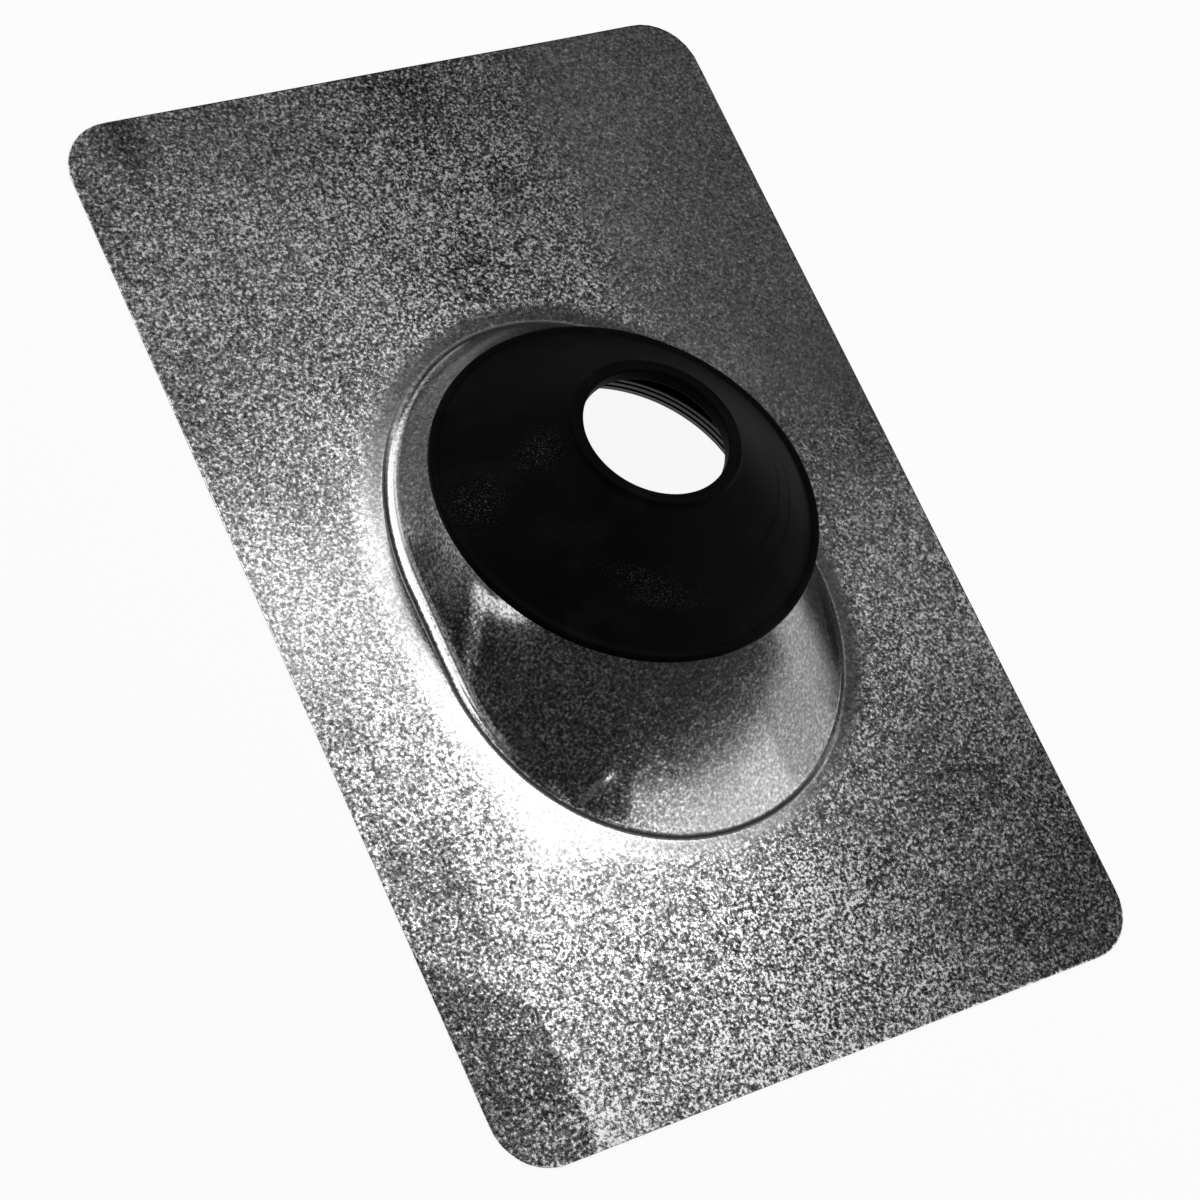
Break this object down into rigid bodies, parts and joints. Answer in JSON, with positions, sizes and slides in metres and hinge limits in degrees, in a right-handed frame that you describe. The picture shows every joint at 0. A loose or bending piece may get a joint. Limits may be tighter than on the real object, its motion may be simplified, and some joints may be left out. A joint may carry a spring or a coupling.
{
  "type": "pipe flashing boot",
  "caption": "Roof flashing for a vent pipe: a galvanised steel sheet drawn up into a leaning boot, topped by a moulded rubber cone collar that grips the pipe.",
  "frame": {"origin": "centre of the sheet's underside, on the roof's surface", "axes": "+X across the roof, +Y up the slope, +Z out of the roof, square to the sheet"},
  "size_m": [0.254, 0.381, 0.0643],
  "materials": {
    "galvanised_sheet": "hot-dip galvanised, fine grain, dull",
    "collar_rubber": "moulded, satin"
  },
  "bodies": {
    "root": {"flashing_base": "galvanised_sheet", "pipe_collar": "collar_rubber"}
  },
  "joints": []
}
